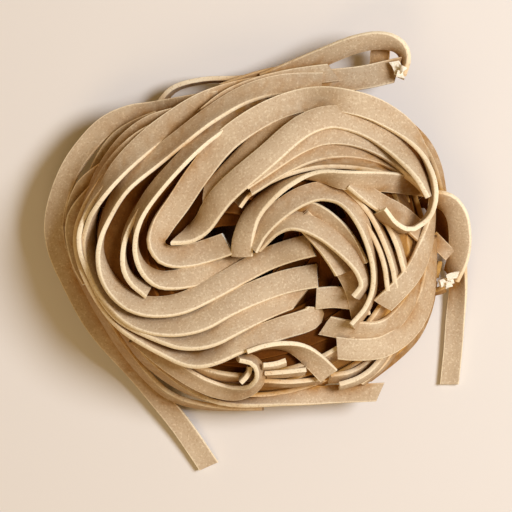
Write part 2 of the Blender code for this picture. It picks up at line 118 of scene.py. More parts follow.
# Laid ribbons, lowest first: name, width, least heights of the middle line from start to end, and the route
# as (x, y, roll) seen from above. A roll above 0 lifts the edge on the left of the way the route runs.
LAID_RIBBONS = [
    ("side_tail", 4.4, (6, 0, 0), [
        (46.2, 1, 60), (46, -8, 25), (45.4, -14.6, 8), (44.8, -21.6, 0), (43.8, -30, 0)]),
    ("back_arch", 3.6, (5,), [
        (-23, 34.5, 75), (-19.5, 38.4, 78), (-13, 40.2, 80), (-5, 40.6, 80), (3, 41.4, 75)]),
    ("outer_left", 4.8, (8, 11, 12, 9, 4, 0), [
        (-8, 35.3, 0), (-14, 34.5, 0), (-24, 33.1, 4), (-29, 32.4, 6), (-34.3, 30, 9), (-38.8, 25.4, 12),
        (-43, 18.9, 14), (-46.2, 9.5, 15), (-46, 2, 16), (-42.8, -6, 20), (-38, -14.5, 24),
        (-31.4, -23, 24), (-24.9, -31.5, 18), (-18.4, -39.8, 8), (-12, -49.3, 0)]),
    ("low_right", 4.0, (4.5,), [
        (25, -28.5, 70), (32, -23, 70), (36, -18.5, 66), (38.6, -12.5, 66), (40, -6, 70)]),
    ("right_flank", 4.0, (9,), [(33, 31, -70), (38.2, 26, -74), (41, 20.6, -76), (42.4, 14.5, -80)]),
    ("back_cross", 4.4, (7,), [(28.2, 48.4, 0), (27.8, 44.4, 2), (27.4, 40.4, 0)]),
    ("back_shelf", 4.2, (7,), [(-8, 37.4, 25), (0, 40.2, 20), (6, 41.5, 12), (17, 42.6, 5)]),
    ("back_loop", 4.4, (8, 9, 12, 10), [
        (1, 39.6, 25), (5.4, 41.4, 24), (11, 43.8, 22), (17, 46.2, 22), (22.5, 48.1, 24), (27.6, 48.9, 28),
        (31.5, 48.1, 42), (33.6, 45.4, 62), (33, 41.4, 76)]),
    ("flank_floor", 4.8, (5,), [
        (26, 33.4, 0), (32, 29.6, 0), (36, 24.6, 0), (38.4, 18.4, 0), (39.4, 11, 0)]),
    ("side_floor", 4.2, (5,), [(38.2, 14.4, 0), (40.8, 10.8, 0), (41.8, 6, 0), (41.8, 1, 0)]),
    ("side_sliver", 2.6, (5,), [(41.6, -1.2, 80), (41.1, -3, 80), (40.6, -4.8, 80)]),
    ("side_end", 2.6, (5,), [(39.4, -8.4, 66), (41.4, -8.2, 66), (42.9, -7.6, 66)]),
    ("right_leaf", 3.2, (9,), [(39.6, 4.6, -20), (42, 2.2, -12), (44.1, 0.3, -6)]),
    ("side_loop", 5.3, (12, 11, 6), [
        (39.6, 13.2, 50), (42.8, 12.5, 36), (45.2, 9.9, 26), (46.1, 6, 24), (46.2, 2, 26),
        (45.5, -1.6, 34), (44.4, -4.6, 48)]),
    ("front_outer", 4.2, (7,), [
        (-41.5, -1.5, 62), (-36, -11.5, 60), (-30.5, -20.5, 58), (-24, -29.3, 58), (-19, -33, 62),
        (-13, -34.7, 70), (-6, -35.3, 80), (1, -35.2, 85)]),
    ("front_gap", 4.0, (6,), [(16.5, -27.6, 60), (22, -27, 52), (27, -24, 52), (31, -19, 55)]),
    ("front_pair_outer", 3.8, (7,), [
        (24, -29.2, 74), (28.7, -25.4, 74), (31.4, -21.6, 74), (34, -17.5, 74)]),
    ("front_pair_inner", 3.8, (8,), [(18.5, -29.6, 70), (23.1, -28.1, 70), (27, -25.4, 70), (31, -20, 70)]),
    ("front_bit_low", 3.4, (7,), [(1.6, -28, 74), (8, -28.4, 72), (15.2, -27.7, 70)]),
    ("front_bit_middle", 3.4, (8,), [(2.6, -26, 74), (7, -25.7, 70), (11.6, -25.1, 68)]),
    ("front_bit_high", 3.2, (9,), [(1.8, -23.9, 76), (4.6, -23.8, 72), (7.2, -23.1, 68)]),
    ("front_long", 4.2, (9,), [
        (-30, -15.5, 56), (-26, -22, 56), (-22, -26.2, 58), (-17, -30, 66), (-11, -32.8, 82),
        (-6, -33.3, 100), (0, -32.6, 130), (6, -32, 150), (14, -31.9, 165), (28, -31, 172)]),
    ("front_curl", 4.4, (11,), [
        (-27, -17, 16), (-22, -21.3, 24), (-16.7, -25.4, 32), (-10.8, -28.9, 36), (-5, -30.4, 44),
        (-0.3, -28.9, 60), (1.5, -25.6, 74), (0.2, -22.6, 78), (-3.4, -21.8, 82)]),
    ("curl_end", 3.2, (10,), [(-0.9, -23.8, 84), (-1.3, -25.6, 84), (-3, -27.3, 80)]),
    ("front_ripple", 4.8, (13, 12, 10), [
        (-1.5, -20.8, 88), (3, -19.4, 84), (7.5, -19.3, 68), (11, -20.6, 40), (13.9, -23.1, 18),
        (16.8, -26.2, 8)]),
    ("shelf_high", 4.6, (8,), [
        (-36.6, 17, 6), (-34.9, 21.4, 6), (-31.8, 26, 6), (-27.6, 28.8, 4), (-22, 31, 0)]),
    ("shelf_middle", 4.6, (8,), [
        (-41.6, 5, 8), (-41.6, 9.4, 8), (-40.3, 13.2, 8), (-38.6, 16, 6), (-35.4, 18.7, 6),
        (-30.6, 21.6, 4)]),
    ("shelf_low", 4.6, (8,), [
        (-36.8, -5.4, 16), (-39.4, -1.2, 14), (-41.2, 4.2, 12), (-41.2, 7.8, 10), (-40, 10.4, 8),
        (-37.6, 13, 6), (-34.6, 15.8, 4), (-30.4, 19.4, 4)]),
    ("sweep_4", 5.2, (9,), [
        (13.6, -10.6, -66), (13.6, -13, -30), (10.6, -14.4, 2), (6.6, -15.4, 12), (2, -16.8, 20),
        (-4, -18.9, 30), (-8, -21, 45), (-12.5, -22.3, 56), (-17, -21.4, 60), (-26, -16.9, 62),
        (-31.2, -13, 66), (-35.6, -7.6, 74), (-39.2, -0.6, 84), (-40.3, 5.4, 90), (-39, 11, 98),
        (-35.8, 17.2, 114), (-32, 22.6, 132), (-27.8, 26.8, 150), (-23, 29.8, 166), (-18.5, 31.2, 176)]),
    ("sweep_3", 5.2, (10,), [
        (15.4, -6.9, 18), (10.8, -8, 10), (4.4, -10.2, 10), (-0.5, -12.4, 16), (-5, -14.9, 28),
        (-8.5, -17, 42), (-12.5, -18.2, 50), (-18, -17.9, 55), (-28, -13.8, 62), (-32.9, -9.4, 70),
        (-36.2, -4.4, 80), (-38.8, 2, 90), (-38.9, 7.4, 98), (-36.6, 13, 110), (-33, 18.6, 128),
        (-29, 23, 148), (-25, 26.2, 166), (-21.5, 28.2, 176)]),
    ("sweep_2", 5.4, (11,), [
        (14.6, -3.9, 4), (7, -5.3, 6), (0, -7.6, 12), (-6, -10.3, 22), (-12, -13.6, 34), (-19, -14.9, 42),
        (-26, -13.5, 46), (-31.5, -9, 50), (-35.4, -2.8, 54), (-37, 3.4, 62), (-36.2, 9.2, 84),
        (-33.6, 14.6, 112), (-29.8, 20.2, 138), (-25.2, 25.1, 154), (-19.8, 29.5, 160), (-11.6, 34.6, 164),
        (-2, 37.9, 168), (7, 39.2, 172), (16, 39.8, 176), (24.4, 40.6, 178), (32.2, 42.4, 180)]),
    ("back_over", 4.2, (9,), [
        (-11.4, 31.6, 6), (-6, 35.8, 8), (0, 38.5, 8), (6, 40.2, 8), (12, 41.3, 6), (17.6, 42, 4)]),
    ("nested_floor", 4.6, (12,), [
        (-27, -9.5, -8), (-30.4, -4, -12), (-31.4, 2, -16), (-30, 9, -20), (-25.6, 16.2, -22),
        (-18.6, 23.4, -22), (-10, 31, -20)]),
    ("nested_low", 4.2, (14,), [
        (-23, -7.4, 50), (-27.4, -4, 74), (-28.9, 1, 94), (-27.6, 7.5, 110), (-22, 16.4, 122),
        (-14, 25, 130)]),
    ("nested_high", 4.8, (14,), [
        (-1, -0.6, 12), (-8, -2.6, 16), (-14.5, -4.2, 24), (-20.5, -4.6, 44), (-24.6, -1.6, 76),
        (-26.1, 4, 98), (-24, 11.5, 118), (-17, 20.5, 126), (-8, 29.3, 136), (3, 35.2, 146)]),
    ("sweep_1", 5.2, (12,), [
        (13.6, 3.3, 8), (8.8, 2, 9), (3.2, -0.1, 11), (-2.4, -3, 15), (-10, -7, 21), (-17, -9.9, 27),
        (-24, -10.2, 34), (-29, -8, 46), (-32.7, -3.5, 66), (-34.3, 2.5, 96), (-33.1, 8.4, 112),
        (-28.9, 15.5, 126), (-22.5, 21.6, 130), (-16, 27.1, 132), (-9.5, 32.2, 136), (-2, 36.6, 142),
        (6, 38.8, 155), (15, 39.2, 168)]),
    ("right_under", 4.6, (9,), [
        (37.6, -1, -58), (35.6, -8, -52), (32.4, -13, -40), (28.5, -15.9, -28), (22.6, -16.2, -12),
        (15.9, -15.2, 0)]),
    ("right_over", 5.0, (10,), [
        (39.8, 5, -66), (39.6, -3, -56), (38.2, -10.2, -42), (34.6, -16.2, -24), (29, -19.7, -8),
        (23, -20.3, 0), (18.7, -20, 4)]),
    ("short_cross", 4.9, (10,), [(13.4, -9.2, 4), (17.6, -8.7, 4), (21.8, -9, 4)]),
    ("spoke_3", 3.8, (12,), [(24, 9.5, -80), (27.4, 4.5, -80), (29.6, -1, -80), (30.4, -6.5, -80)]),
    ("spoke_1", 3.8, (12.5,), [
        (17.6, 18.4, -80), (21.4, 15.6, -80), (26, 10.6, -80), (29.4, 4, -80), (31.4, -1.5, -80),
        (32.2, -6, -80)]),
    ("spoke_2", 3.8, (12.5,), [
        (20.8, 18.4, -80), (24.4, 15.4, -80), (28.6, 10.6, -80), (32, 4, -80), (34, -3, -78)]),
    ("hook_under", 4.6, (13,), [
        (21.6, 17.8, -50), (25.4, 14.6, -46), (29, 12, -38), (33, 9.6, -34), (38.4, 4.6, -36)]),
    ("right_prop", 4.6, (13,), [
        (28.6, -10.8, 12), (32, -7.4, 20), (35.6, -3.2, 32), (38, 2, 48), (39.6, 8, 72), (40, 13.5, 84)]),
    ("eye_floor", 4.6, (11,), [(17.5, 1.5, 10), (20.5, -2.5, 14), (22.8, -7.5, 18), (24, -13, 20)]),
    ("eye_middle", 4.4, (12,), [
        (3.4, 8.2, 4), (8.2, 11.2, 8), (13.2, 11, 16), (17.8, 8, 24), (21.4, 3.8, 34), (24, -1, 44)]),
    ("eye_inner", 4.4, (12,), [
        (10.6, 9.6, -12), (13.4, 6.6, -16), (16.4, 3.2, -20), (18.8, -0.2, -24), (20.4, -3, -28)]),
    ("eye_curl", 4.6, (13,), [
        (0.4, 3.4, -26), (4.8, 7.5, -26), (9.6, 8.9, -28), (15.2, 6.9, -34), (20.4, 2.8, -42),
        (23.9, -1.6, -58), (24.9, -5.6, -74), (23, -8.4, -76)]),
    ("eye_arc", 4.6, (14,), [
        (-0.6, 2.6, -22), (1.8, 6.6, -24), (6.1, 10.9, -26), (11, 14.1, -28), (15.8, 15.3, -32),
        (20.8, 13.6, -44), (24.4, 8.4, -62), (26.4, 1.4, -78), (26.9, -5.5, -80), (25.4, -10.8, -78),
        (22.2, -15, -74)]),
    ("fold_under", 4.2, (14,), [
        (-3.6, 12.2, -52), (-0.6, 15.8, -54), (6, 19.2, -60), (13, 20.9, -62), (20, 21.2, -62),
        (28, 20.2, -60), (35, 18, -60)]),
    ("crossing", 4.9, (15,), [
        (-2.5, 0.5, -6), (-2.3, 4.6, -16), (0.1, 10.7, -38), (5.3, 15.6, -62), (10.8, 18.2, -90),
        (15.5, 18.6, -118), (21, 17.7, -144), (30, 17.3, -154), (39.5, 16, -142)]),
    ("top_low", 4.2, (16,), [
        (-12.4, 11.8, -8), (-9.4, 15.4, -24), (-5, 20.6, -36), (0.6, 26, -36), (8, 31, -30),
        (16, 33.4, -20)]),
    ("top_inner", 4.8, (16,), [
        (-1, 16.4, -16), (6.5, 20.9, -20), (13, 23.6, -22), (20, 24.6, -22), (27, 23.6, -28),
        (33, 20.8, -42), (37, 17.4, -62), (39, 14.6, -76)]),
    ("top_middle", 4.8, (17,), [
        (-2.6, 17.4, -14), (3.2, 21.2, -12), (10, 25.5, -10), (16, 27.7, -8), (23, 27.3, -12),
        (30, 24.4, -26), (36, 19.4, -50), (39, 15.4, -74)]),
    ("top_fold", 5.4, (12, 18, 18, 18), [
        (-18.6, 4.9, -62), (-14.6, 5.6, -50), (-11.4, 8, -32), (-9, 11.4, -20), (-5.2, 15.7, -16),
        (3.4, 22.8, -16), (9.5, 28.3, -16), (14, 31, -16), (19, 31.8, -18), (26, 29.5, -26),
        (32, 24.9, -44), (37, 18.8, -68), (39.3, 14, -84)]),
    ("top_outer", 5.4, (17, 19, 19, 19), [
        (-5.2, 3.7, 16), (-9.4, 2.2, 18), (-14.8, 0.6, 24), (-19.4, 0.6, 38), (-22, 3.4, 54),
        (-20.4, 7.8, 28), (-16.5, 13, 10), (-11.9, 19.3, 4), (-5, 27.1, -3), (4.4, 33.3, -8),
        (14, 35.9, -6), (24, 34.3, -12), (31, 31, -26), (35.6, 27.2, -55), (38.6, 22, -85),
        (40.4, 15, -98), (38.8, 9.2, -96), (34.8, 6.6, -88), (31.4, 7.8, -74), (28.6, 10.8, -60)]),
]

# Laid ribbons that belong to the piece on top, and those painted dark as shade because they lie deep
TOP_NAMES = {
    "top_low", "top_inner", "top_middle", "top_fold", "top_outer", "crossing", "fold_under",
    "eye_arc", "eye_curl", "eye_floor", "eye_middle", "eye_inner"}
SHADED_NAMES = {"nested_floor", "flank_floor", "side_floor"}

# Slants of the cut ends that show, at the start and at the end of the ribbon
CUT_SLANTS = {
    "sweep_1": (10, 5), "sweep_2": (-6, 30), "sweep_3": (-58, 8), "sweep_4": (10, 8),
    "short_cross": (-10, 12), "right_over": (0, 10), "right_under": (0, -26), "top_outer": (12, 6),
    "crossing": (4, 0), "front_long": (0, 28), "side_tail": (0, 6), "outer_left": (0, -10),
    "eye_inner": (0, -14), "front_curl": (0, 20), "top_fold": (-38, 0), "top_low": (-50, 0),
    "right_prop": (12, 0), "back_shelf": (0, 26), "back_over": (0, 30),
}

# Small broken bits on the loops' ends: width and route, and the least height of them all
BROKEN_BITS = [
    (2.1, [(31.0, 44.6, 20), (31.9, 43.0, -10), (32.4, 41.6, 15)]),
    (1.5, [(33.3, 43.6, -20), (33.6, 42.0, 10)]),
    (1.6, [(31.8, 41.5, 10), (33.4, 40.9, -25)]),
    (1.8, [(41.5, -6.2, 15), (43, -5.7, -10), (44.6, -5.2, 20)]),
    (1.5, [(43.1, -4.9, 10), (44.5, -4.4, -10), (45.8, -4.2, 10)]),
    (1.3, [(42.8, -6.9, -20), (44.4, -6.2, 15)]),
]
BITS_LEAST_HEIGHT = (4,)

# Hidden windings below those that show: how far out each layer starts and ends, and how deep it lies
INNER_LAYERS = 3
INNER_FIRST_SHARE = 0.93
INNER_SHARE_STEP = 0.03
INNER_LAST_SHARE = 0.25
INNER_SPACING = (0.045, 0.07)
INNER_DEPTH = 1.5
INNER_DEPTH_STEP = 3.4
INNER_DEPTH_CHANCE = (0, 0.8)
INNER_LEAN_CHANCE = (-6, 12)
INNER_LEAST_HEIGHT = 3.0
INNER_LEAST_POINTS = 12
INNER_SMOOTHING = 4.0

# Turns and lean of the hidden windings' first layer, and of the layers below it
FIRST_TURNS = (0.75, 1.1)
FIRST_LEAN = 10
DEEPER_TURNS = (0.45, 0.8)
DEEPER_LEAN = 60

# Windings behind those round the side: layers inwards, and the rows in each
BACKING_LAYERS = (-1, -2)
BACKING_ROWS = 4
BACKING_LOWEST = 3.0
BACKING_RISE = 4.4
BACKING_TURNS = 0.8
BACKING_SWAY = 0.6

# How windings sway, wander in and out and twist round the heap: size, times in a turn, share of their phase
SIDE_SWAY = (2, 7)
INNER_WANDER = (0.05, 3, 20)
INNER_TWIST = (12, 2, 9)

# The heart of the heap: share of the heap's radius, height of its middle, rise, ridges, depth below the top
HEART_SHARE = 0.82
HEART_MIDDLE = 9.0
HEART_RISE = 9.0
HEART_RIDGE = 0.7
HEART_DEPTH = 6.0
HEART_SEGMENTS = 72
HEART_RINGS = 48

# Fineness of the heap's height map and of the routes
CELL = 0.4
REACH = 62.0
STEP = 0.8
SMOOTHING = 3.5
ROUTE_SPACING = 2
LEAST_POINTS = 3
SECTION_POINTS = 9

# Share of its width that a ribbon rests on, and how far it bridges what lies beneath
BEARING_SHARE = 0.55
BRIDGING = 1.6

# How far up and down the side's lean is measured
LEAN_REACH = 1

# How far round a place the heap is looked at for the painted shade in crevices, and in how many directions
PAINTED_SHADE_REACHES = (1.2, 2.2, 3.6)
PAINTED_SHADE_WAYS = 12

# An edge runs along an axis when it is this many times longer that way than aside
ALONG_TO_ASIDE = 10

# A cut face's normal points at least this much along the ribbon
CUT_FACE_NORMAL = 0.5

# Edges sharper than this stay sharp in the shading
SHARP_ANGLE = 40

# Grain of the dough: scale of each noise, its detail and its roughness, and the range that shows
DARK_SPECKS = (2300, 2.0, 0.5)
DARK_RANGE = (0.56, 0.70)
PALE_SPECKS = (1900, 2.0, 0.5)
PALE_RANGE = (0.54, 0.70)
BLOOM = (140, 3.0, 0.5)
BLOOM_RANGE = (0.3, 0.7)
RELIEF = (2400, 5.0, 0.7)

# Cut edges and streaks, on the ribbon's own map
RAGGED_NOISE = (1.3, 4.0, 0.6)
RAGGEDNESS = 0.10
EDGE_RANGE = (0.86, 0.95)
STREAK_STRETCH = (0.12, 3.2, 1.0)
STREAK_NOISE = (1.6, 4.0, 0.6)
STREAK_RANGE = (0.35, 0.75)

# How strongly each effect colours a ribbon
DARKEST_TONE = 0.72
TONE_STRENGTH = 0.22
BLOOM_STRENGTH = 0.16
STREAK_STRENGTH = 0.14
# Paler cut edges: partly their own colour, partly painted highlight
EDGE_PALENESS_AND_HIGHLIGHT = 0.85
DARK_STRENGTH = 0.38
PALE_STRENGTH = 0.35
# Painted shade: ribbons darken and warm towards this tint where higher ribbons stand close round them, fully
# at this much
FULL_PAINTED_SHADE = 0.42
PAINTED_SHADE_TINT = (0.64, 0.40, 0.14, 1.0)

# Sockets of a Mix node that mixes colours
MIX_SHARE = 0
MIX_FIRST = 6
MIX_SECOND = 7
MIX_RESULT = 2

# Surface of the ribbons, and of broken and packed dough: roughness, the bump's strength and its depth
PASTA_ROUGHNESS = (0.70, 0.86)
PASTA_BUMP = (0.35, 0.00012)
PASTA_SPECULAR = 0.28
SHADED_SPECULAR = 0.08
ROUGH_DOUGH_ROUGHNESS = 0.9
ROUGH_DOUGH_BUMP = (0.6, 0.0003)
ROUGH_DOUGH_SPECKS = 0.5

# The studio, in metres: lights by name, place, size, power and colour
LIGHTS = (
    ("overhead", (0.50, 0.14, 0.64), 0.3, 6.4, (0.98, 1.0, 1.10)),
    ("fill", (-0.1, -0.55, 0.7), 0.5, 1.5, (1.0, 0.74, 0.46)),
)
WORLD_COLOUR = (1.0, 0.66, 0.28, 1.0)
WORLD_STRENGTH = 0.31
FLOOR_SIZE = 4
FLOOR_ROUGHNESS = 0.9
LENS = 182
CLIP_START = 0.01
CAMERA_PLACE = (0.0405, 0.0268, 0.6)
CAMERA_AIM = (0.0, 0.0, 0.012)

chance = random.Random(7)


# The heap and the ways that ribbons lie on it

def core_height(x, y):
    """Height of the heap's core over a point, 0 outside it."""
    share = np.hypot((x - HEAP_CENTRE[0]) / HEAP_RADIUS[0], (y - HEAP_CENTRE[1]) / HEAP_RADIUS[1])
    profile = sorted(HEAP_PROFILE[WIDEST_POINT:])
    height = HEAP_CREST * np.interp(share, [p[0] for p in profile], [p[1] for p in profile])
    return np.where(share <= 1.0, height - valley(x, y), 0.0)


def valley(x, y):
    """Depth of the hollow that runs through the middle of the swirl."""
    (x0, y0), (x1, y1) = VALLEY_ENDS
    run, rise = x1 - x0, y1 - y0
    share = np.clip(((x - x0) * run + (y - y0) * rise) / (run * run + rise * rise), 0, 1)
    away = np.hypot(x - x0 - share * run, y - y0 - share * rise) / VALLEY_SPREAD
    depth = VALLEY_DEPTHS[0] + (VALLEY_DEPTHS[1] - VALLEY_DEPTHS[0]) * share
    return depth * np.exp(-away * away)


class Heap:
    """What has been laid so far, as a height over each cell of a square grid."""

    def __init__(self):
        self.ends = np.arange(-REACH, REACH + CELL, CELL)
        x, y = np.meshgrid(self.ends, self.ends)
        self.top = np.maximum(core_height(x, y), FLOOR_GAP)

    def cells(self, x, y):
        last = len(self.ends) - 1
        column = np.clip(np.rint((x + REACH) / CELL), 0, last).astype(int)
        row = np.clip(np.rint((y + REACH) / CELL), 0, last).astype(int)
        return row, column

    def height(self, x, y):
        return self.top[self.cells(x, y)]

    def cover(self, x, y, z):
        np.maximum.at(self.top, self.cells(x, y), z)


def smooth_route(points):
    """Points every step along a Catmull-Rom curve through the route's own points, with all their values."""
    points = np.array(points, dtype=float)
    before = 2 * points[0] - points[1]
    after = 2 * points[-1] - points[-2]
    guides = np.vstack([before, points, after])
    pieces = []
    for index in range(1, len(guides) - 2):
        p0, p1, p2, p3 = guides[index - 1:index + 3]
        length = np.hypot(*(p2 - p1)[:2])
        share = np.linspace(0, 1, max(LEAST_POINTS, int(length / STEP)), endpoint=False)[:, None]
        pieces.append(0.5 * (
            2 * p1 + (p2 - p0) * share + (2 * p0 - 5 * p1 + 4 * p2 - p3) * share ** 2
            + (3 * p1 - p0 - 3 * p2 + p3) * share ** 3))
    pieces.append(guides[-2][None, :])
    return np.vstack(pieces)


def soften(values, length):
    """Values smoothed along a ribbon by a bell curve whose spread is a length in millimetres."""
    reach = int(3 * length / STEP)
    weights = np.exp(-0.5 * (np.arange(-reach, reach + 1) * STEP / length) ** 2)
    padded = np.pad(values, reach, mode="edge")
    return np.convolve(padded, weights / weights.sum(), mode="valid")


def widest(values, length):
    """The greatest value near each place along a ribbon."""
    reach = max(1, int(length / STEP))
    padded = np.pad(values, reach, mode="edge")
    return np.array([padded[i:i + 2 * reach + 1].max() for i in range(len(values))])


def left_of(line):
    """Level direction to the left of the way a line runs."""
    along = np.gradient(line[:, :2], axis=0)
    along /= np.linalg.norm(along, axis=1)[:, None]
    return np.stack([-along[:, 1], along[:, 0]], axis=1)


def section_points(line, roll, width, share):
    """Plan place and rise above the middle line of points over each section, out to a share of the width."""
    across = np.linspace(-0.5, 0.5, SECTION_POINTS)[None, :, None] * width * share
    through = np.array([-0.5, 0.5])[None, None, :] * RIBBON_THICKNESS
    angle = np.radians(roll)[:, None, None]
    aside = across * np.cos(angle) - through * np.sin(angle)
    rise = across * np.sin(angle) + through * np.cos(angle)
    left = left_of(line)
    x = line[:, 0, None, None] + aside * left[:, 0, None, None]
    y = line[:, 1, None, None] + aside * left[:, 1, None, None]
    return x, y, rise


def lay(width, least, route):
    """Middle line and roll of a ribbon that rests on the heap, which it then covers."""
    fine = smooth_route(route)
    line, roll = fine[:, :2], fine[:, 2]
    x, y, rise = section_points(line, roll, width, BEARING_SHARE)
    rest = (heap.height(x, y) - rise).max(axis=(1, 2))
    x, y, rise = section_points(line, roll, width, 1.0)
    lowest = soften(widest(FLOOR_GAP - rise.min(axis=(1, 2)), BRIDGING), BRIDGING)
    rest = np.maximum(rest, lowest)
    along = np.linspace(0, 1, len(rest))
    held = np.interp(along, np.linspace(0, 1, len(least)), least)
    height = soften(widest(np.maximum(rest, held), BRIDGING), SMOOTHING)
    heap.cover(x, y, height[:, None, None] + rise)
    return np.column_stack([line, np.maximum(height - SINK, lowest)]), roll


def wave_round(turn, seed, size, times, phase):
    """A wave round the heap, its phase from a value of the winding's own."""
    return size * np.sin(times * turn + phase * seed)


def side_winding(start, turns, height, sway, layer):
    """Middle line and roll of a ribbon wound round the side of the heap, its face against the core."""
    turn = math.tau * (start + turns * np.linspace(0, 1, int(turns * HEAP_GIRTH / STEP)))
    z = height + wave_round(turn, start, sway, *SIDE_SWAY)
    profile = HEAP_PROFILE[:SHOULDER_POINT + 1]
    levels = [p[1] * HEAP_CREST for p in profile]
    shares = [p[0] for p in profile]
    out = SIDE_GAP + SIDE_LAYER * layer
    share = np.interp(z, levels, shares)
    lean = np.interp(z + LEAN_REACH, levels, shares) - np.interp(z - LEAN_REACH, levels, shares)
    x = HEAP_CENTRE[0] + (HEAP_RADIUS[0] * share + out) * np.cos(turn)
    y = HEAP_CENTRE[1] + (HEAP_RADIUS[1] * share + out) * np.sin(turn)
    radius = (HEAP_RADIUS[0] + HEAP_RADIUS[1]) / 2
    roll = 90 + np.degrees(np.arctan2(lean * radius, 2 * LEAN_REACH))
    return np.column_stack([x, y, z]), roll


def inner_winding(share, start, turns, depth, lean):
    """Middle line and roll of a hidden ribbon that follows the heap's surface at a depth below it."""
    count = max(INNER_LEAST_POINTS, int(turns * HEAP_GIRTH * share / STEP))
    turn = math.tau * (start + turns * np.linspace(0, 1, count))
    wander = wave_round(turn, share, *INNER_WANDER)
    x = HEAP_CENTRE[0] + HEAP_RADIUS[0] * (share + wander) * np.cos(turn)
    y = HEAP_CENTRE[1] + HEAP_RADIUS[1] * (share + wander) * np.sin(turn)
    z = np.maximum(core_height(x, y) - depth, INNER_LEAST_HEIGHT)
    roll = lean + wave_round(turn, share, *INNER_TWIST)
    return np.column_stack([x, y, soften(z, INNER_SMOOTHING)]), roll


# Modelling

def select_only(*things):
    bpy.ops.object.select_all(action="DESELECT")
    for thing in things:
        thing.select_set(True)
    bpy.context.view_layer.objects.active = things[0]


def places_of(mesh):
    """Places of a mesh's points, a row for each."""
    places = np.empty(len(mesh.vertices) * 3)
    mesh.vertices.foreach_get("co", places)
    return places.reshape(-1, 3)


def move_points(mesh, places):
    mesh.vertices.foreach_set("co", places.ravel())


def point_values(mesh, name, values):
    """A value on each point of a mesh, for the materials to read."""
    mesh.attributes.new(name, "FLOAT", "POINT").data.foreach_set("value", values)


def select_edges_along(mesh, axis):
    """In edit mode, selects the edges that run along an axis, 0 for x and 1 for y, and nothing else."""
    shape = bmesh.from_edit_mesh(mesh)
    shape.select_mode = {"EDGE"}
    for face in shape.faces:
        face.select = False
    for edge in shape.edges:
        way = edge.verts[1].co - edge.verts[0].co
        aside = sum(abs(way[other]) for other in range(3) if other != axis)
        edge.select = abs(way[axis]) > ALONG_TO_ASIDE * aside
    shape.select_flush_mode()
    bmesh.update_edit_mesh(mesh)


def ribbon_blank():
    """One straight ribbon, longer than any that is laid, along +X from the origin, its faces up and down."""
    bpy.ops.object.select_all(action="DESELECT")
    bpy.ops.mesh.primitive_cube_add(
        size=1, location=(BLANK_LENGTH / 2 * MM, 0, 0),
        scale=(BLANK_LENGTH * MM, RIBBON_WIDTH * MM, RIBBON_THICKNESS * MM))
    blank = bpy.context.object
    blank.name = "ribbon_blank"
    bpy.ops.object.transform_apply(location=True, rotation=True, scale=True)
    bpy.ops.object.mode_set(mode="EDIT")
    bpy.ops.mesh.select_mode(type="EDGE")
    select_edges_along(blank.data, 0)
    bpy.ops.mesh.bevel(offset=EDGE_ROUNDING * MM, segments=ROUNDING_SEGMENTS, affect="EDGES")
    select_edges_along(blank.data, 1)
    bpy.ops.mesh.subdivide(number_cuts=BLANK_CUTS_ACROSS)
    for cuts in (BLANK_COARSE_CUTS, BLANK_FINE_CUTS):
        select_edges_along(blank.data, 0)
        bpy.ops.mesh.subdivide(number_cuts=cuts)
    bpy.ops.object.mode_set(mode="OBJECT")
    mark_place_on_ribbon(blank.data)
    blank.data.materials.append(PASTA)
    blank.data.materials.append(BROKEN)
    return blank


def blank_faced_with(blank, material):
    """A copy of the blank whose faces have another material."""
    other = blank.copy()
    other.data = blank.data.copy()
    bpy.context.scene.collection.objects.link(other)
    other.data.materials[FACE_SLOT] = material
    return other


def mark_place_on_ribbon(mesh):
    """A UV map: millimetres along the ribbon, and across it from its middle, 1 at its edges."""
    while mesh.uv_layers:
        mesh.uv_layers.remove(mesh.uv_layers[0])
    layer = mesh.uv_layers.new(name="on_ribbon")
    for loop, place in zip(mesh.loops, layer.data):
        spot = mesh.vertices[loop.vertex_index].co
        place.uv = (spot.x / MM, spot.y / MM / (RIBBON_WIDTH / 2))


def cut_across(ribbon, where, slant, keep_before):
    """Cuts a straight ribbon across and gives the cut face the broken-end material."""
    bpy.ops.mesh.select_all(action="SELECT")
    angle = math.radians(slant)
    bpy.ops.mesh.bisect(
        plane_co=(where * MM, 0, 0), plane_no=(math.cos(angle), math.sin(angle), 0),
        use_fill=True, clear_outer=keep_before, clear_inner=not keep_before)
    ribbon.active_material_index = BROKEN_SLOT
    shape = bmesh.from_edit_mesh(ribbon.data)
    for face in shape.faces:
        face.select = all(v.select for v in face.verts) and abs(face.normal.x) > CUT_FACE_NORMAL
    bpy.ops.object.material_slot_assign()


def route_curve(line, roll):
    """A curve through a ribbon's middle line, its tilt the ribbon's roll."""
    data = bpy.data.curves.new("route", "CURVE")
    data.dimensions = "3D"
    data.twist_mode = "Z_UP"
    kept = list(range(0, len(line), ROUTE_SPACING))
    if kept[-1] != len(line) - 1:
        kept.append(len(line) - 1)
    spline = data.splines.new("POLY")
    spline.points.add(len(kept) - 1)
    for point, index in zip(spline.points, kept):
        point.co = (*(line[index] * MM), 1)
        point.tilt = math.radians(roll[index])
    route = bpy.data.objects.new("route", data)
    bpy.context.scene.collection.objects.link(route)
    return route


def drying_wave(along, own_phase, size, length, times):
    return size * np.sin(along / length + times * own_phase)


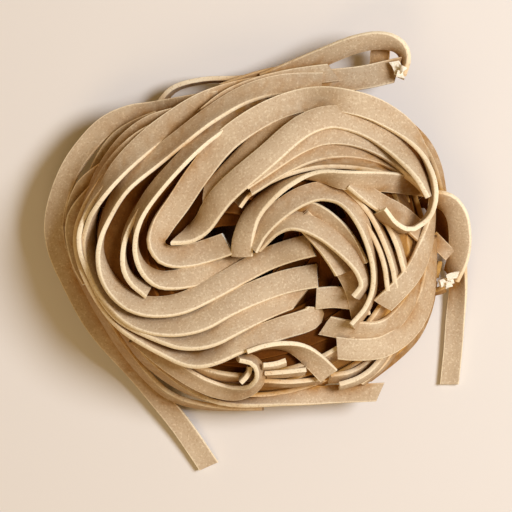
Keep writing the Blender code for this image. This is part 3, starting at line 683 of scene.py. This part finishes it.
def bent_ribbon(name, blank, line, roll, width, cuts=None):
    """A ribbon cut from the blank and bent along its route, a little uneven as dried ones are."""
    line = line.copy()
    along = np.arange(len(line)) * STEP
    own_phase = chance.uniform(0, PHASES)
    line[:, 2] += drying_wave(along, own_phase, *RISE_WAVE)
    line[:, :2] += drying_wave(along, own_phase, *ASIDE_WAVE)[:, None] * left_of(line)
    for wave in ROLL_WAVES:
        roll = roll + drying_wave(along, own_phase, *wave)
    length = np.linalg.norm(np.diff(line, axis=0), axis=1).sum()

    ribbon = blank.copy()
    ribbon.data = blank.data.copy()
    ribbon.name = name
    bpy.context.scene.collection.objects.link(ribbon)
    places = places_of(ribbon.data)
    across = places[:, 1] / (RIBBON_WIDTH / 2 * MM)
    places[:, 2] += CUPPING * MM * math.sin(own_phase) * (0.5 - across ** 2)
    places[:, 1] *= width / RIBBON_WIDTH
    move_points(ribbon.data, places)

    first, last = cuts if cuts else (
        chance.uniform(-HIDDEN_SLANT, HIDDEN_SLANT), chance.uniform(-HIDDEN_SLANT, HIDDEN_SLANT))
    slanted_off = width / 2 * abs(math.tan(math.radians(first)))
    select_only(ribbon)
    bpy.ops.object.mode_set(mode="EDIT")
    bpy.ops.mesh.select_mode(type="VERT")
    cut_across(ribbon, slanted_off + CUT_MARGIN, first, keep_before=False)
    cut_across(ribbon, length, last, keep_before=True)
    bpy.ops.object.mode_set(mode="OBJECT")
    point_values(ribbon.data, "shade", [chance.random()] * len(ribbon.data.vertices))

    route = route_curve(line, roll)
    bend = ribbon.modifiers.new("bend", "CURVE")
    bend.object = route
    bend.deform_axis = "POS_X"
    select_only(ribbon)
    bpy.ops.object.modifier_apply(modifier="bend")
    bpy.data.objects.remove(route)
    return ribbon


def painted_shade(x, y, z):
    """How closely higher ribbons stand round each place, from 0 in the open to 1 deep between them: how much
    painted shade it gets.
    """
    total = np.zeros(len(x))
    for reach in PAINTED_SHADE_REACHES:
        for turn in np.arange(PAINTED_SHADE_WAYS) * math.tau / PAINTED_SHADE_WAYS:
            above = heap.height(x + reach * math.cos(turn), y + reach * math.sin(turn)) - z
            total += np.clip(above / reach, 0, 1)
    return total / (PAINTED_SHADE_WAYS * len(PAINTED_SHADE_REACHES))


def join(name, things):
    """Several objects as one, with how closely higher ribbons stand round each point stored for the painted
    shade, moved to the frame's own middle.
    """
    select_only(*things)
    bpy.ops.object.join()
    whole = bpy.context.object
    whole.name = name
    whole.data.name = name
    places = places_of(whole.data)
    point_values(whole.data, "painted_shade", painted_shade(*(places / MM).T))
    places[:, 0] -= MIDDLE_SHIFT[0] * MM
    places[:, 1] -= MIDDLE_SHIFT[1] * MM
    move_points(whole.data, places)
    bpy.ops.object.shade_smooth_by_angle(angle=math.radians(SHARP_ANGLE))
    return whole


def heap_heart():
    """The heart of the heap, below every ribbon that shows, shaped as packed windings that have run
    together; its dark brown colour is painted shade for the deep gaps.
    """
    bpy.ops.object.select_all(action="DESELECT")
    bpy.ops.mesh.primitive_uv_sphere_add(
        segments=HEART_SEGMENTS, ring_count=HEART_RINGS, radius=1,
        location=(HEAP_CENTRE[0] * MM, HEAP_CENTRE[1] * MM, HEART_MIDDLE * MM),
        scale=(HEAP_RADIUS[0] * HEART_SHARE * MM, HEAP_RADIUS[1] * HEART_SHARE * MM, HEART_RISE * MM))
    heart = bpy.context.object
    bpy.ops.object.transform_apply(location=True, rotation=True, scale=True)
    places = places_of(heart.data)
    x, y, z = (places / MM).T
    away = np.hypot(x - HEAP_CENTRE[0], y - HEAP_CENTRE[1])
    way = np.arctan2(y - HEAP_CENTRE[1], x - HEAP_CENTRE[0])
    ridges = HEART_RIDGE * np.sin(math.tau * away / RIBBON_WIDTH + way)
    top = np.minimum(z + ridges, core_height(x, y) - HEART_DEPTH)
    z = np.where(z > HEART_MIDDLE, top, z)
    places[:, 2] = np.maximum(z, FLOOR_GAP) * MM
    move_points(heart.data, places)
    heart.data.update()
    heart.data.materials.append(HEART_PAINTED_SHADE)
    return heart


# Materials

def srgb(red, green, blue):
    """A colour typed as 0 to 255 in sRGB, as Blender's linear colour."""
    def linear(value):
        value /= 255
        return value / 12.92 if value <= 0.04045 else ((value + 0.055) / 1.055) ** 2.4
    return (linear(red), linear(green), linear(blue), 1.0)


def group_with(name, inputs, outputs):
    """An empty shader node group with named inputs and outputs."""
    group = bpy.data.node_groups.new(name, "ShaderNodeTree")
    for title, kind in inputs:
        group.interface.new_socket(name=title, in_out="INPUT", socket_type=kind)
    for title in outputs:
        group.interface.new_socket(name=title, in_out="OUTPUT", socket_type="NodeSocketFloat")
    entry = group.nodes.new("NodeGroupInput")
    way_out = group.nodes.new("NodeGroupOutput")
    return group, entry, way_out


def noise(tree, where, scale, detail, roughness):
    node = tree.nodes.new("ShaderNodeTexNoise")
    node.inputs["Scale"].default_value = scale
    node.inputs["Detail"].default_value = detail
    node.inputs["Roughness"].default_value = roughness
    tree.links.new(where, node.inputs["Vector"])
    return node.outputs["Fac"]


def between(tree, value, low, high, to_low=0.0, to_high=1.0):
    """A value mapped from one range to another and held inside it."""
    node = tree.nodes.new("ShaderNodeMapRange")
    node.inputs["From Min"].default_value = low
    node.inputs["From Max"].default_value = high
    node.inputs["To Min"].default_value = to_low
    node.inputs["To Max"].default_value = to_high
    tree.links.new(value, node.inputs["Value"])
    return node.outputs["Result"]


def feed(tree, socket, value):
    """Sets a socket to a plain value, or links it to another node's output."""
    if isinstance(value, (tuple, int, float)):
        socket.default_value = value
    else:
        tree.links.new(value, socket)


def combine(tree, operation, first, second):
    node = tree.nodes.new("ShaderNodeMath")
    node.operation = operation
    feed(tree, node.inputs[0], first)
    feed(tree, node.inputs[1], second)
    return node.outputs["Value"]


def blended(tree, share, first, second, mode="MIX"):
    """A colour with a share of another laid over it."""
    node = tree.nodes.new("ShaderNodeMix")
    node.data_type = "RGBA"
    node.blend_type = mode
    feed(tree, node.inputs[MIX_SHARE], share)
    feed(tree, node.inputs[MIX_FIRST], first)
    feed(tree, node.inputs[MIX_SECOND], second)
    return node.outputs[MIX_RESULT]


def grain_group():
    """Bran specks, floury bloom and fine roughness of wholegrain dough."""
    group, entry, way_out = group_with(
        "wholegrain_grain", [("Place", "NodeSocketVector")],
        ["Dark specks", "Pale specks", "Bloom", "Relief"])
    place = entry.outputs["Place"]
    specks = noise(group, place, *DARK_SPECKS)
    pale = noise(group, place, *PALE_SPECKS)
    bloom = noise(group, place, *BLOOM)
    relief = noise(group, place, *RELIEF)
    group.links.new(between(group, specks, *DARK_RANGE), way_out.inputs["Dark specks"])
    group.links.new(between(group, pale, *PALE_RANGE), way_out.inputs["Pale specks"])
    group.links.new(between(group, bloom, *BLOOM_RANGE), way_out.inputs["Bloom"])
    group.links.new(combine(group, "ADD", relief, specks), way_out.inputs["Relief"])
    return group


def edge_group():
    """Mask of a ribbon's two cut edges, a little ragged, and streaks along it, both from its UV map."""
    group, entry, way_out = group_with(
        "cut_edge", [("On ribbon", "NodeSocketVector"), ("Raggedness", "NodeSocketFloat")],
        ["Edge", "Streaks"])
    place = entry.outputs["On ribbon"]
    apart = group.nodes.new("ShaderNodeSeparateXYZ")
    group.links.new(place, apart.inputs[0])
    across = combine(group, "ABSOLUTE", apart.outputs["Y"], 0.0)
    ragged = combine(group, "SUBTRACT", noise(group, place, *RAGGED_NOISE), 0.5)
    ragged = combine(group, "MULTIPLY", ragged, entry.outputs["Raggedness"])
    edge = between(group, combine(group, "ADD", across, ragged), *EDGE_RANGE)
    group.links.new(edge, way_out.inputs["Edge"])
    stretched = group.nodes.new("ShaderNodeMapping")
    stretched.inputs["Scale"].default_value = STREAK_STRETCH
    group.links.new(place, stretched.inputs["Vector"])
    streaks = noise(group, stretched.outputs["Vector"], *STREAK_NOISE)
    group.links.new(streaks, way_out.inputs["Streaks"])
    return group


def new_material(name):
    material = bpy.data.materials.new(name)
    material.use_nodes = True
    tree = material.node_tree
    return material, tree, tree.nodes["Principled BSDF"]


def placed_group(tree, group):
    node = tree.nodes.new("ShaderNodeGroup")
    node.node_tree = group
    return node


def placed_grain(tree):
    """The dough's grain, on the piece's Object coordinates."""
    where = tree.nodes.new("ShaderNodeTexCoord")
    grain = placed_group(tree, GRAIN)
    tree.links.new(where.outputs["Object"], grain.inputs["Place"])
    return grain


def point_value(tree, name):
    """A value that the mesh holds on its points."""
    node = tree.nodes.new("ShaderNodeAttribute")
    node.attribute_name = name
    return node.outputs["Fac"]


def add_bump(tree, shader, height, strength, depth):
    bump = tree.nodes.new("ShaderNodeBump")
    bump.inputs["Strength"].default_value = strength
    bump.inputs["Distance"].default_value = depth
    tree.links.new(height, bump.inputs["Height"])
    tree.links.new(bump.outputs["Normal"], shader.inputs["Normal"])


def pasta_material(name, face, edge, speck, specular):
    """Matte ribbon: bran specks and bloom over its face, paler along the cut edges (partly their own colour,
    partly painted highlight), and painted shade that darkens and warms it in crevices.
    """
    material, tree, shader = new_material(name)
    grain = placed_grain(tree)
    ribbon = tree.nodes.new("ShaderNodeUVMap")
    ribbon.uv_map = "on_ribbon"
    cut = placed_group(tree, EDGE)
    cut.inputs["Raggedness"].default_value = RAGGEDNESS
    tree.links.new(ribbon.outputs["UV"], cut.inputs["On ribbon"])
    darkest = tuple(c * DARKEST_TONE for c in face[:3]) + (1.0,)
    layers = (
        (point_value(tree, "shade"), (0.0, 1.0), TONE_STRENGTH, darkest),
        (grain.outputs["Bloom"], (0.0, 1.0), BLOOM_STRENGTH, edge),
        (cut.outputs["Streaks"], STREAK_RANGE, STREAK_STRENGTH, speck),
        # Paler cut edges: partly their own colour, partly painted highlight
        (cut.outputs["Edge"], (0.0, 1.0), EDGE_PALENESS_AND_HIGHLIGHT, edge),
        (grain.outputs["Dark specks"], (0.0, 1.0), DARK_STRENGTH, speck),
        (grain.outputs["Pale specks"], (0.0, 1.0), PALE_STRENGTH, edge),
    )
    colour = face
    for mask, shown, strength, over in layers:
        colour = blended(tree, between(tree, mask, *shown, 0.0, strength), colour, over)
    # Painted shade: darker and warmer where higher ribbons stand close round a place
    deep = between(tree, point_value(tree, "painted_shade"), 0.0, FULL_PAINTED_SHADE)
    colour = blended(tree, deep, colour, PAINTED_SHADE_TINT, "MULTIPLY")
    tree.links.new(colour, shader.inputs["Base Color"])
    roughness = between(tree, grain.outputs["Bloom"], 0.0, 1.0, *PASTA_ROUGHNESS)
    tree.links.new(roughness, shader.inputs["Roughness"])
    add_bump(tree, shader, grain.outputs["Relief"], *PASTA_BUMP)
    shader.inputs["Specular IOR Level"].default_value = specular
    return material


def rough_dough_material(name, colour, speck):
    """Broken or packed dough: one colour with its specks, rough."""
    material, tree, shader = new_material(name)
    grain = placed_grain(tree)
    specks = between(tree, grain.outputs["Dark specks"], 0.0, 1.0, 0.0, ROUGH_DOUGH_SPECKS)
    tree.links.new(blended(tree, specks, colour, speck), shader.inputs["Base Color"])
    shader.inputs["Roughness"].default_value = ROUGH_DOUGH_ROUGHNESS
    add_bump(tree, shader, grain.outputs["Relief"], *ROUGH_DOUGH_BUMP)
    return material


GRAIN = grain_group()
EDGE = edge_group()
# The pale colour lightens bloom, pale specks and cut edges; on the edges it is partly painted highlight
PASTA = pasta_material(
    "wholegrain_pasta", srgb(195, 174, 142), srgb(248, 234, 200), srgb(150, 110, 72), PASTA_SPECULAR)
# A darker, warmer copy of the pasta for ribbons that lie deep: painted shade
SHADED = pasta_material(
    "inner_pasta_painted_shade", srgb(116, 80, 36), srgb(148, 108, 56), srgb(80, 50, 20), SHADED_SPECULAR)
BROKEN = rough_dough_material("broken_end", srgb(248, 240, 218), srgb(216, 196, 160))
# Painted shade: the heart is coloured dark brown so the deep gaps between ribbons read dark
HEART_PAINTED_SHADE = rough_dough_material("heap_heart", srgb(70, 40, 14), srgb(50, 28, 10))


# The nest

def wind_side(blank):
    """The windings that show round the side of the heap."""
    ribbons = []
    for index, winding in enumerate(SIDE_WINDINGS):
        line, roll = side_winding(*winding)
        x, y, rise = section_points(line, roll, RIBBON_WIDTH, 1.0)
        heap.cover(x, y, line[:, 2, None, None] + rise)
        ribbons.append(bent_ribbon(f"side_{index}", blank, line, roll, RIBBON_WIDTH))
    return ribbons


def lay_ribbons(blank, shaded_blank):
    """The ribbons laid on the heap: those that sweep round it, and those on top."""
    swept, top = [], []
    for name, width, least, route in LAID_RIBBONS:
        line, roll = lay(width, least, route)
        # Ribbons that lie deep get the painted-shade pasta
        own_blank = shaded_blank if name in SHADED_NAMES else blank
        ribbon = bent_ribbon(name, own_blank, line, roll, width, CUT_SLANTS.get(name))
        (top if name in TOP_NAMES else swept).append(ribbon)
    return swept, top


def lay_broken_bits(broken_blank):
    bits = []
    for index, (width, route) in enumerate(BROKEN_BITS):
        line, roll = lay(width, BITS_LEAST_HEIGHT, route)
        slants = (chance.uniform(-BIT_SLANT, BIT_SLANT), chance.uniform(-BIT_SLANT, BIT_SLANT))
        bits.append(bent_ribbon(f"broken_bit_{index}", broken_blank, line, roll, width, slants))
    return bits


def wind_inside(shaded_blank):
    """The hidden windings that show in the gaps, faced with the painted-shade pasta: layers below the top,
    then rows behind the side.
    """
    ribbons = []

    def wind(line, roll):
        ribbons.append(bent_ribbon(f"inner_{len(ribbons)}", shaded_blank, line, roll, RIBBON_WIDTH))

    for layer in range(INNER_LAYERS):
        turns_range, layer_lean = (DEEPER_TURNS, DEEPER_LEAN) if layer else (FIRST_TURNS, FIRST_LEAN)
        share = INNER_FIRST_SHARE - INNER_SHARE_STEP * layer
        while share > INNER_LAST_SHARE:
            start = chance.random()
            turns = chance.uniform(*turns_range)
            depth = INNER_DEPTH + INNER_DEPTH_STEP * layer + chance.uniform(*INNER_DEPTH_CHANCE)
            lean = layer_lean * share + chance.uniform(*INNER_LEAN_CHANCE)
            wind(*inner_winding(share, start, turns, depth, lean))
            share -= chance.uniform(*INNER_SPACING)
    for layer in BACKING_LAYERS:
        for row in range(BACKING_ROWS):
            height = BACKING_LOWEST + BACKING_RISE * row
            wind(*side_winding(chance.random(), BACKING_TURNS, height, BACKING_SWAY, layer))
    return ribbons


heap = Heap()
blank = ribbon_blank()
# Blank faced with the painted-shade pasta
shaded_blank = blank_faced_with(blank, SHADED)
broken_blank = blank_faced_with(blank, BROKEN)

side = wind_side(blank)
swept, top = lay_ribbons(blank, shaded_blank)
bits = lay_broken_bits(broken_blank)
inner = wind_inside(shaded_blank)
for used_up in (blank, shaded_blank, broken_blank):
    bpy.data.objects.remove(used_up)

strands_side = join("strands_side", side)
strands_swept = join("strands_swept", swept)
strands_top = join("strands_top", top)
strands_inner = join("strands_inner", inner)
broken_bits = join("broken_bits", bits)
heart = join("heap_heart", [heap_heart()])

for piece in (strands_side, strands_swept, strands_top, strands_inner, broken_bits, heart):
    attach(piece, "root")
    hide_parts("nest")


# Studio

def pale_floor():
    """A plain pale floor under the nest."""
    bpy.ops.object.select_all(action="DESELECT")
    bpy.ops.mesh.primitive_plane_add(size=FLOOR_SIZE, location=(0, 0, 0))
    floor = bpy.context.object
    floor.name = "floor"
    material, _, shader = new_material("pale_floor")
    shader.inputs["Base Color"].default_value = srgb(226, 222, 214)
    shader.inputs["Roughness"].default_value = FLOOR_ROUGHNESS
    floor.data.materials.append(material)


def soft_lights():
    """Two disks of light that face the nest, in a warm dim world."""
    for name, place, size, power, colour in LIGHTS:
        data = bpy.data.lights.new(name, "AREA")
        data.shape = "DISK"
        data.size = size
        data.energy = power
        data.color = colour
        light = bpy.data.objects.new(name, data)
        light.location = place
        light.rotation_euler = (-Vector(place)).to_track_quat("-Z", "Y").to_euler()
        bpy.context.scene.collection.objects.link(light)
    world = bpy.data.worlds.new("studio")
    world.use_nodes = True
    background = world.node_tree.nodes["Background"]
    background.inputs["Color"].default_value = WORLD_COLOUR
    background.inputs["Strength"].default_value = WORLD_STRENGTH
    bpy.context.scene.world = world
    bpy.context.scene.view_settings.view_transform = "Standard"


def overhead_camera():
    """The camera, almost straight over the nest, its top towards the back."""
    data = bpy.data.cameras.new("camera")
    data.lens = LENS
    data.clip_start = CLIP_START
    camera = bpy.data.objects.new("camera", data)
    camera.location = CAMERA_PLACE
    backwards = (camera.location - Vector(CAMERA_AIM)).normalized()
    upwards = backwards.cross(Vector((1, 0, 0))).normalized()
    sideways = upwards.cross(backwards)
    camera.rotation_euler = Matrix((sideways, upwards, backwards)).transposed().to_euler()
    bpy.context.scene.collection.objects.link(camera)
    bpy.context.scene.camera = camera


pale_floor()
soft_lights()
overhead_camera()
